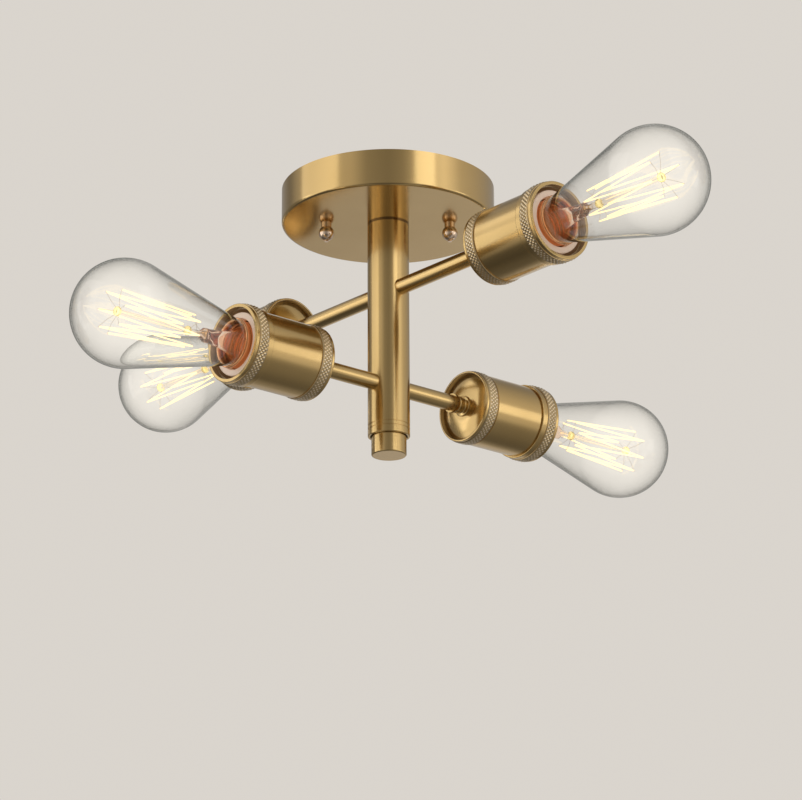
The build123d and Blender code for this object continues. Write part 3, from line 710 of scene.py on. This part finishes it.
def knurled(outline, start, length, valley, depth):
    """Outline with a rolled band, its crests, its tone and the way its faces are split.

    In units of half a diamond, x round the band and y along it, the height is
    depth * |1 - x' - y'| in each even square and depth * |x' - y'| in each odd one, with x'
    and y' the place inside the square: peaks and valleys alternate at the corners. The peaks
    are cut a little flat. The tone is 2 (height / depth)^0.55 - 1, and -1 in the bore; by it
    the brass paints a sheen on the crests and makes the valleys and the bore darker.
    """
    part, overshoot, tone_power, bore_reach = 2, 1.15, 0.55, 0.5
    y = np.arange(knurl_rows * part + 1) / part
    x = np.arange(knurl_turns) / (knurl_turns / (2 * knurl_count))
    yy, xx = np.meshgrid(y, x, indexing="ij")
    square_y = np.minimum(np.floor(yy), knurl_rows - 1)
    odd = (np.floor(xx) + square_y) % 2
    across, along = xx - np.floor(xx), yy - square_y
    height = np.where(odd == 0, np.abs(1 - across - along), np.abs(across - along))
    height = np.minimum(height * overshoot, 1.0) * depth * mm
    height[[0, -1]] = 0.0
    band = np.stack([start + length * y / knurl_rows, valley + 0 * y], -1) * mm
    spot = np.searchsorted(np.maximum.accumulate(outline[:, 0]), start * mm + 1e-9)
    line = np.vstack([outline[:spot], band, outline[spot:]])
    crests = np.zeros((len(line), knurl_turns))
    crests[spot : spot + len(band)] = height
    tone = np.zeros_like(crests) - (line[:, 1:] < (cup_bore_r + bore_reach) * mm)
    tone[spot : spot + len(band)] = 2 * (height / (depth * mm)) ** tone_power - 1
    ways = np.zeros((len(line), knurl_turns), int)
    ways[spot : spot + len(band) - 1] = np.where(odd[:-1] == 0, 2, 1)
    return line, crests, tone, ways


def knurled_tube(name, band, place):
    """Brass tube with a rolled band as knurled gives it, turned round the axis of its place."""
    line, crests, tone, ways = band
    wall = spun(line, place, knurl_turns, crests=crests, tone=tone)
    return joined(name, [(*wall, ways)], [spun_brass])


cup_l, rear_r = 51.0, cup_r + 0.05
groove_s, groove_l, groove_depth = 8.4, 0.8, 0.4
rear_knurl_s, rear_knurl_l, rear_valley_r, rear_knurl_depth = 1.9, 6.3, 20.8, 0.35
cup_line = eased([
    (0.0, cup_bore_r + 0.05, 0.45),
    (0.0, rear_r, 0.5),
    (1.5, rear_r, 0.1),
    (groove_s, cup_r, 0),
    (groove_s, cup_r - groove_depth, 0.1),
    (groove_s + groove_l, cup_r - groove_depth, 0.1),
    (groove_s + groove_l, cup_r, 0.12),
    (cup_l, cup_r, 0.15),
    (cup_l, cup_bore_r, 0.1),
    (groove_s, cup_bore_r, 0),
])
rear_band = knurled(cup_line, rear_knurl_s, rear_knurl_l, rear_valley_r, rear_knurl_depth)
for n, place in enumerate(socket_seats, 1):
    cup = knurled_tube(f"knurled_cup_{n}", rear_band, place)
    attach(cup, "fixture")
    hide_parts(f"cup_{n}")

# --- front rings ---------------------------------------------------------------------------
# Heavier turned rings pushed over the cups' front ends: a smooth shoulder, a raised band
# rolled with the same knurl, and a plain rounded lip round the mouth.
ring_s, ring_band_s, ring_band_end, ring_lip_s, socket_l = 42.5, 46.1, 52.4, 51.0, 54.5
ring_bore_r, ring_land_r, mouth_r = cup_r + 0.06, 21.6, 19.7
ring_knurl_s, ring_knurl_l, ring_valley_r, ring_knurl_depth = 46.2, 6.1, 21.95, 0.4
ring_line = eased([
    (ring_s, ring_bore_r, 0.1),
    (ring_s, ring_land_r, 0.5),
    (ring_band_s, ring_land_r, 0),
    (ring_band_end, ring_land_r, 0),
    (socket_l, ring_land_r, 0.4),
    (socket_l, mouth_r, 0.25),
    (ring_lip_s, mouth_r, 0.1),
    (ring_lip_s, ring_bore_r, 0.1),
])
front_band = knurled(ring_line, ring_knurl_s, ring_knurl_l, ring_valley_r, ring_knurl_depth)
for n, place in enumerate(socket_seats, 1):
    ring = knurled_tube(f"knurled_ring_{n}", front_band, place)
    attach(ring, "fixture")
    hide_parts(f"front_ring_{n}")


# --- lampholders ---------------------------------------------------------------------------
# Pressed white porcelain with a thin glaze, screwed on the necks' threads. A painted warm
# glow over the whole lampholder stands in for the light of the lit thread in front of it.
# colour of the painted warm glow on the lampholders
painted_lamplight_colour, clouds_per_metre = (1.0, 0.66, 0.42, 1), 90.0
pores_per_metre, pore_depth = 1400.0, 0.00003


def glazed(name, pale, deep, painted_lamplight=0.0):
    """Glazed body with faint clouds and fine pores under a clear coat.

    Its emission is a painted warm glow that stands in for the light it takes from the lit
    thread in front of it.
    """
    made, tree = new_material(name)
    where = node(tree, "ShaderNodeTexCoord").outputs["Object"]
    drift = drifting(tree, where, pale, deep, clouds_per_metre)
    pores = node(tree, "ShaderNodeTexNoise", Vector=where, Scale=pores_per_metre, Detail=2.0)
    finish_skin(
        tree,
        Base_Color=drift["Colour"],
        Roughness=map_range(tree, drift["Cloud"], 0.0, 1.0, 0.3, 0.45),
        Coat_Weight=0.6,
        Coat_Roughness=0.08,
        # painted warm glow, standing in for the light of the lit thread
        Emission_Color=painted_lamplight_colour,
        Emission_Strength=painted_lamplight,
        Normal=relief(tree, pores.outputs["Fac"], pore_depth, 0.3),
    )
    return made


# the lampholders carry a faint painted glow for the light of the lit thread
porcelain = glazed("porcelain", (0.92, 0.81, 0.72, 1), (0.88, 0.75, 0.65, 1), 0.17)
dress([f"lampholder_{n}" for n in range(1, 5)], porcelain)


# --- screw shells and contacts -------------------------------------------------------------
# A thin brass shell rolled with a round screw thread stands in each lampholder, with a bent
# spring leaf on the floor behind it.
thread_pitch, shell_thread_h, cap_thread_h = 3.63, 0.4, 0.5
thread_rows, thread_turns = 90, 96


def thread(outline, start, stop, height):
    """Crests of a rolled screw thread that runs out over half a pitch at both ends.

    At distance s and angle a they are height * (1 + cos(2 pi s / pitch - a)) / 2.
    """
    a = 2 * pi * np.arange(thread_turns) / thread_turns
    s = outline[:, :1] / mm
    wave = 0.5 + 0.5 * np.cos(2 * pi * s / thread_pitch - a)
    run_out = thread_pitch / 2
    fade = np.clip((s - start) / run_out, 0, 1) * np.clip((stop - s) / run_out, 0, 1)
    return wave * fade * height * mm


holder_floor, shell_l, shell_out_r, shell_hole_r, shell_wall = 21.0, 26.5, 14.0, 9.0, 0.3
shell_end, shell_root_r = holder_floor + shell_l, shell_out_r - 0.45
shell_brass = brass(
    "shell_brass", (0.74, 0.47, 0.2, 1), (0.6, 0.34, 0.13, 1), (0.2, 0.32), rings=2500.0
)
s = np.linspace(holder_floor + 1.2, shell_end - 0.6, thread_rows)
wall = np.full_like(s, shell_root_r)
shell_line = mm * np.vstack([
    [(holder_floor, shell_hole_r), (holder_floor, shell_out_r - 0.5)],
    np.stack([s, wall], -1),
    [(shell_end, shell_out_r - 0.1), (shell_end, shell_out_r - 0.4)],
    np.stack([s, wall - shell_wall], -1)[::-1],
    [(holder_floor + 0.4, shell_out_r - 0.9), (holder_floor + 0.4, shell_hole_r)],
])
shell_crests = thread(shell_line, holder_floor + 2, shell_end - 1.5, shell_thread_h)
for n, place in enumerate(socket_seats, 1):
    skin = spun(shell_line, place, thread_turns, crests=shell_crests)
    shell = joined(f"threaded_shell_{n}", [skin], [shell_brass])
    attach(shell, "fixture")
    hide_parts(f"screw_shell_{n}")
dress(["centre_contacts"], shell_brass)

# --- bulb caps -----------------------------------------------------------------------------
# Drawn from thin copper-coloured brass, rolled with the same thread, with a small bead round
# the open end where the glass goes in.
bulb_reach = socket_l + 0.5
bulb_seats = [
    (origin + out * (bulb_reach * mm), up, across, out)
    for origin, up, across, out in socket_seats
]
cap_l, cap_r, cap_bead_r, cap_hole_r, cap_wall = 21.0, 13.1, 13.8, 7.5, 0.25
copper_brass = brass(
    "copper_brass",
    (1.0, 0.56, 0.3, 1),
    (0.9, 0.42, 0.18, 1),
    (0.16, 0.26),
    rings=2500.0,
    lacquer=0.2,
)
s = np.linspace(-cap_l + 1.4, -1.6, thread_rows)
wall = np.full_like(s, cap_r - 0.55)
cap_line = mm * np.vstack([
    [(-cap_l, cap_hole_r), (-cap_l, cap_r - 1.4), (-cap_l + 0.5, cap_r - 0.7)],
    np.stack([s, wall], -1),
    [(-1.1, cap_bead_r - 0.15), (-0.7, cap_bead_r), (-0.3, cap_bead_r)],
    [(0, cap_bead_r - 0.25), (0, cap_r - 0.35), (-0.2, cap_r - 0.5)],
    np.stack([s, wall - cap_wall], -1)[::-1],
    [(-cap_l + 0.5, cap_r - 1.5), (-cap_l + 0.5, cap_hole_r)],
])
cap_crests = thread(cap_line, -cap_l + 2, -2.2, cap_thread_h)
for n, place in enumerate(bulb_seats, 1):
    skin = spun(cap_line, place, thread_turns, crests=cap_crests)
    cap = joined(f"threaded_cap_{n}", [skin], [copper_brass])
    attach(cap, f"bulb_{n}")
    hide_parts(f"bulb_cap_{n}")

# --- bulb feet -----------------------------------------------------------------------------
# Black glass insulators moulded into the caps' lower ends, each with a soft solder contact
# at its tip, which meets the spring leaf in the lampholder.
black_glass = glazed("black_insulator", (0.02, 0.02, 0.022, 1), (0.035, 0.033, 0.03, 1))
solder = plated_steel("solder", (0.66, 0.65, 0.62, 1), (0.5, 0.49, 0.46, 1), (0.3, 0.5))
cone_tip_u, cone_back_u, solder_tip_u, solder_back_u = -24.6, -18.0, -25.5, -24.5
cone_line = eased([
    (cone_tip_u, 4.4, 0.4),
    (-21.05, 7.45, 0.1),
    (-20.4, 7.45, 0),
    (-20.4, 10.5, 0.2),
    (cone_back_u, 10.5, 0.4),
])
tip_line = eased([(solder_tip_u, 4.3, 0.8), (solder_back_u, 4.5, 0.3)])
cone_ends = (cone_tip_u * mm, cone_back_u * mm)
tip_ends = (solder_tip_u * mm, solder_back_u * mm)
for n, place in enumerate(bulb_seats, 1):
    cone = spun(cone_line, place, small_turns, ends=cone_ends)
    tip = spun(tip_line, place, small_turns, ends=tip_ends)
    foot = joined(f"foot_{n}", [cone, tip], [black_glass, solder])
    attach(foot, f"bulb_{n}")
    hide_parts(f"bulb_foot_{n}")

# --- bulb glass ----------------------------------------------------------------------------
# Blown clear soda glass, less than a millimetre thick: a short neck in the cap, a straight
# flare and a round end. Where it is seen edge on it is painted a little green and grey,
# partly for the colour of its thickness and partly as painted shade, with a painted dark
# outline.
ball_r, ball_u, neck_r, flare_r, sunk, glass_wall = 29.0, 69.5, 12.5, 13.3, 7.5, 0.8


def pear(offset):
    """Half outline of the bulb, moved inwards by offset: neck, cone and round end.

    The cone from the neck's end meets the ball where both share a tangent, and the neck is
    joined to it by a smooth step.
    """
    step_u, end_u, short_of_tip = -1.5, 2.0, 0.02
    run = sqrt((ball_u - end_u) ** 2 + flare_r**2)
    lean = np.arcsin(ball_r / run) - np.arctan2(flare_r, ball_u - end_u)
    ball = ball_r - offset
    a = np.linspace(-lean, pi / 2 - short_of_tip, 40)
    round_end = np.stack([ball_u + ball * np.sin(a), ball * np.cos(a)], -1)
    meet_u, meet_r = round_end[0]
    u = np.linspace(end_u, meet_u, 14)[:-1]
    cone = np.stack([u, np.interp(u, [end_u, meet_u], [flare_r - offset, meet_r])], -1)
    u = np.linspace(-sunk, end_u, 14)[:-1]
    step = np.clip((u - step_u) / (end_u - step_u), 0, 1)
    neck_rs = neck_r - offset + (flare_r - neck_r) * step**2 * (3 - 2 * step)
    return np.vstack([np.stack([u, neck_rs], -1), cone, round_end])


# spans along the bulb and along the flare over which the painted glow of the glass comes in
bulb_painted_glow_span, flare_painted_glow_span = (0.012, 0.032), (0.014, 0.002)
clear_colour, clear_run = (1.0, 0.94, 0.86, 1), 0.006
# a painted thin dark line along the glass's outline
painted_outline_power, painted_outline_strength = 10.0, 3.0
waves_per_metre, wave_depth = 38.0, 0.0004


def clear_glass(
    name,
    tint,
    edge_tint_and_shade,
    painted_glow,
    painted_glow_colour,
    narrowness=3.0,
    bend=1.5,
    painted_glow_from_to=bulb_painted_glow_span,
    clear_past=None,
):
    """Clear glass, tinted more where it is seen at a low angle, as its thickness adds up.

    A higher narrowness keeps the tint nearer to the outline. The tint at the edge is partly
    the colour of the glass's thickness and partly painted shade, and the outline has its own
    painted thin dark line. The emission is a painted glow that stands in for the light of
    the lit filament, brightest where the glass is seen face on; it comes in along the bulb
    from the first to the second of the two distances given for it. Past clear_past the
    glass has lost its colour.
    """
    made, tree = new_material(name)
    where = node(tree, "ShaderNodeTexCoord").outputs["Object"]
    slant = node(tree, "ShaderNodeLayerWeight", Blend=0.5).outputs["Facing"]
    # edge tint: partly the glass's own colour, partly painted shade, and a painted dark outline
    painted_outline_share = math_node(tree, "POWER", slant, painted_outline_power)
    outline = math_node(tree, "MULTIPLY", painted_outline_share, painted_outline_strength)
    edge = math_node(tree, "ADD", math_node(tree, "POWER", slant, narrowness), outline)
    colour = blend(tree, math_node(tree, "MINIMUM", edge, 1.0), tint, edge_tint_and_shade)
    waves = node(tree, "ShaderNodeTexNoise", Vector=where, Scale=waves_per_metre, Detail=1.0)
    along = turning_parts(tree)["X"]
    beyond = map_range(tree, along, *painted_glow_from_to)
    # painted glow: brightest where the glass is seen face on
    straight_on = math_node(tree, "POWER", math_node(tree, "SUBTRACT", 1.0, slant), 2.0)
    painted_glow_share = math_node(tree, "MULTIPLY", beyond, straight_on)
    if clear_past is not None:
        past = map_range(tree, along, clear_past, clear_past + clear_run)
        colour = blend(tree, past, colour, clear_colour)
    finish_skin(
        tree,
        Base_Color=colour,
        Roughness=0.0,
        IOR=bend,
        Transmission_Weight=1.0,
        Emission_Color=blend(tree, painted_glow_share, (0, 0, 0, 1), painted_glow_colour),
        Emission_Strength=painted_glow,
        Normal=relief(tree, waves.outputs["Fac"], wave_depth, 0.25),
    )
    return made


# the bulb glass carries a faint painted glow for the light of the lit filament
bulb_glass = clear_glass(
    "bulb_glass",
    tint=(0.99, 0.995, 0.99, 1),
    edge_tint_and_shade=(0.04, 0.055, 0.05, 1),
    painted_glow=0.06,
    painted_glow_colour=(1.0, 0.92, 0.8, 1),
    narrowness=2.7,
)
tip_u, tip_hole_r, glass_turns = ball_u + ball_r, 0.05, 128
glass_line = mm * np.vstack([
    pear(0.0),
    [(tip_u, tip_hole_r), (tip_u - glass_wall, tip_hole_r)],
    pear(glass_wall)[::-1],
])
for n, place in enumerate(bulb_seats, 1):
    glass = joined(f"blown_glass_{n}", [spun(glass_line, place, glass_turns)], [bulb_glass])
    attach(glass, f"bulb_{n}")
    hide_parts(f"bulb_glass_{n}")


# --- glass mounts --------------------------------------------------------------------------
# The flared foot of lead glass is sealed into the neck and pinched flat round the two leads;
# a slim rod goes on from it with two beads that hold the wire supports.
def pinched(stations, place, columns=48):
    """Skin lofted through (u, half width, half thickness, squareness) stations.

    Each row is |x / w|^q + |y / t|^q = 1: x = w sgn(cos a) |cos a|^(2/q), y likewise with sin.
    """
    origin, up, across, out = place
    u, w, t, q = (np.array(stations, float).T)[:, :, None]
    a = 2 * pi * (np.arange(columns) + 0.5) / columns
    x = mm * w * np.sign(np.cos(a)) * np.abs(np.cos(a)) ** (2 / q)
    y = mm * t * np.sign(np.sin(a)) * np.abs(np.sin(a)) ** (2 / q)
    s = mm * u + 0 * a
    grid = origin + s[..., None] * out + x[..., None] * up + y[..., None] * across
    marks = np.stack([s, np.hypot(x, y), 0 * u + a], -1)
    return grid, marks, [origin + s[0, 0] * out, origin + s[-1, 0] * out]


mount_stations = [
    # up the inside of the hollow flare
    (9.5, 0.3, 0.3, 2.0), (9.0, 1.4, 1.4, 2.0), (7.0, 3.1, 3.1, 2.0), (4.0, 4.3, 4.3, 2.0),
    (1.0, 5.6, 5.6, 2.0), (-2.0, 7.3, 7.3, 2.0), (-4.6, 9.4, 9.4, 2.0),
    (-6.3, 10.9, 10.9, 2.0), (-7.0, 11.3, 11.3, 2.0),
    # and back along its outside, over the pinch and down the rod
    (-6.2, 11.7, 11.7, 2.0), (-4.4, 10.4, 10.4, 2.0), (-2.0, 8.4, 8.4, 2.0),
    (1.0, 6.6, 6.6, 2.0), (4.5, 5.3, 5.3, 2.0), (8.0, 4.6, 4.6, 2.0), (11.5, 4.2, 4.2, 2.0),
    (13.5, 4.1, 3.4, 2.2), (15.5, 4.0, 1.9, 2.8), (17.5, 4.0, 1.7, 3.2),
    (19.5, 3.8, 1.7, 3.0), (20.9, 2.4, 1.6, 2.4), (22.1, 1.6, 1.55, 2.0),
    (26.5, 1.5, 1.5, 2.0), (50.5, 1.3, 1.3, 2.0), (72.9, 1.4, 1.4, 2.0),
]
bead_stations = [
    (-1.5, 1.3, 1.3, 2.0), (-1.3, 2.0, 2.0, 2.0), (-0.7, 2.5, 2.5, 2.0), (0.0, 2.6, 2.6, 2.0),
    (0.7, 2.5, 2.5, 2.0), (1.3, 2.0, 2.0, 2.0), (1.5, 1.3, 1.3, 2.0),
]
low_bead, high_bead, bead_columns = 29.5, 74.5, 24
# the lead glass carries a painted orange glow, and the beads below a painted amber glow, for
# the lit filament
lead_glass = clear_glass(
    "lead_glass",
    tint=(1.0, 0.78, 0.62, 1),
    edge_tint_and_shade=(0.85, 0.44, 0.24, 1),
    painted_glow=0.1,
    painted_glow_colour=(1.0, 0.33, 0.09, 1),
    bend=1.35,
    painted_glow_from_to=flare_painted_glow_span,
    clear_past=0.020,
)
amber_bead = clear_glass(
    "amber_bead",
    tint=(1.0, 0.9, 0.5, 1),
    edge_tint_and_shade=(0.9, 0.68, 0.2, 1),
    painted_glow=0.35,
    painted_glow_colour=(1.0, 0.82, 0.34, 1),
)
for n, place in enumerate(bulb_seats, 1):
    rod = pinched(mount_stations, place)
    beads = [
        pinched([(u + level, *rest) for u, *rest in bead_stations], place, bead_columns)
        for level in (low_bead, high_bead)
    ]
    mount = joined(f"glass_mount_{n}", [rod, *beads], [lead_glass, amber_bead, amber_bead])
    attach(mount, f"bulb_{n}")
    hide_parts(f"bulb_mount_{n}")


# --- filaments -----------------------------------------------------------------------------
# A carbon thread strung up and down over two rings of hooks, glowing at a warm white, on
# fine nickel supports from the beads, with two leads from the pinch.
def strung(corners, ease, thickness, place, sides=8):
    """Round wire through corners given as (x, y, u) in millimetres, bent round each of them.

    Row i, column j = p_i + thickness / 2 (cos a_j n_i + sin a_j b_i), where n_i points away
    from the bulb's axis, across the wire, and b_i closes the frame with the wire's direction.
    """
    origin, up, across, out = place
    corners = np.asarray(corners, float)
    easing = np.full(len(corners), float(ease))
    easing[[0, -1]] = 0.0
    path = eased(np.column_stack([corners, easing]), 5)
    along = np.gradient(path, axis=0)
    along /= np.linalg.norm(along, axis=1)[:, None]
    away = path * [1, 1, 0] + [1e-6, 0, 0]
    away -= (away * along).sum(1)[:, None] * along
    away /= np.linalg.norm(away, axis=1)[:, None]
    side = np.cross(along, away)
    a = 2 * pi * np.arange(sides) / sides
    ring = np.cos(a)[None, :, None] * away[:, None] + np.sin(a)[None, :, None] * side[:, None]
    grid = path[:, None] + 0.5 * thickness * mm * ring
    frame_of_bulb = np.stack([up, across, out])
    grid = origin + grid @ frame_of_bulb
    ends = [origin + p @ frame_of_bulb for p in path[[0, -1]]]
    marks = np.broadcast_to((path * [0, 0, 1])[:, None, ::-1], grid.shape)
    return grid, marks, ends


glow, tree = new_material("filament_glow")
where = node(tree, "ShaderNodeTexCoord").outputs["Object"]
coils_per_metre, cooler, hotter = 900.0, (1.0, 0.7, 0.32, 1), (1.0, 0.82, 0.46, 1)
coils = node(tree, "ShaderNodeTexNoise", Vector=where, Scale=coils_per_metre, Detail=1.0)
finish_skin(
    tree,
    Base_Color=(0.2, 0.12, 0.06, 1),
    Roughness=0.6,
    Emission_Color=blend(tree, coils.outputs["Fac"], cooler, hotter),
    Emission_Strength=1.7,
)
nickel = plated_steel("nickel_wire", (0.72, 0.66, 0.58, 1), (0.55, 0.48, 0.4, 1), (0.25, 0.4))
legs, low_r, high_r, cage_low, cage_high = 14, 9.0, 12.5, 27.0, 78.5
thread_d, thread_ease, support_d, support_ease, support_sides = 0.8, 0.9, 0.24, 1.0, 6
bead_grip_r, support_bow, hook_lap = 2.3, 0.6, 0.5
lead_corners = np.array([(2.0, 0.3, 20.0), (3.5, 0.4, 22.5)])
bearings = 2 * pi * np.arange(legs + 1) / (legs + 1)
is_high = np.arange(legs + 1) % 2
hook_r, hook_u = np.where(is_high, high_r, low_r), np.where(is_high, cage_high, cage_low)
hooks = np.stack([hook_r * np.cos(bearings), hook_r * np.sin(bearings), hook_u], -1)
for n, place in enumerate(bulb_seats, 1):
    wires = [strung(hooks, thread_ease, thread_d, place)]
    for hook, bearing, high in zip(hooks[1:-1], bearings[1:-1], is_high[1:-1]):
        inward = np.array([cos(bearing), sin(bearing), 0])
        base = inward * bead_grip_r + [0, 0, high_bead if high else low_bead]
        middle = (base + hook) / 2 + [0, 0, support_bow]
        support = [base, middle, hook + inward * hook_lap]
        wires.append(strung(support, support_ease, support_d, place, support_sides))
    for hook, side in ((hooks[0], 1), (hooks[-1], -1)):
        lead = [*(lead_corners * [side, 1, 1]), hook]
        wires.append(strung(lead, support_ease, support_d, place, support_sides))
    filament = joined(f"strung_filament_{n}", wires, [glow] + [nickel] * (len(wires) - 1))
    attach(filament, f"bulb_{n}")
    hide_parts(f"filament_{n}")
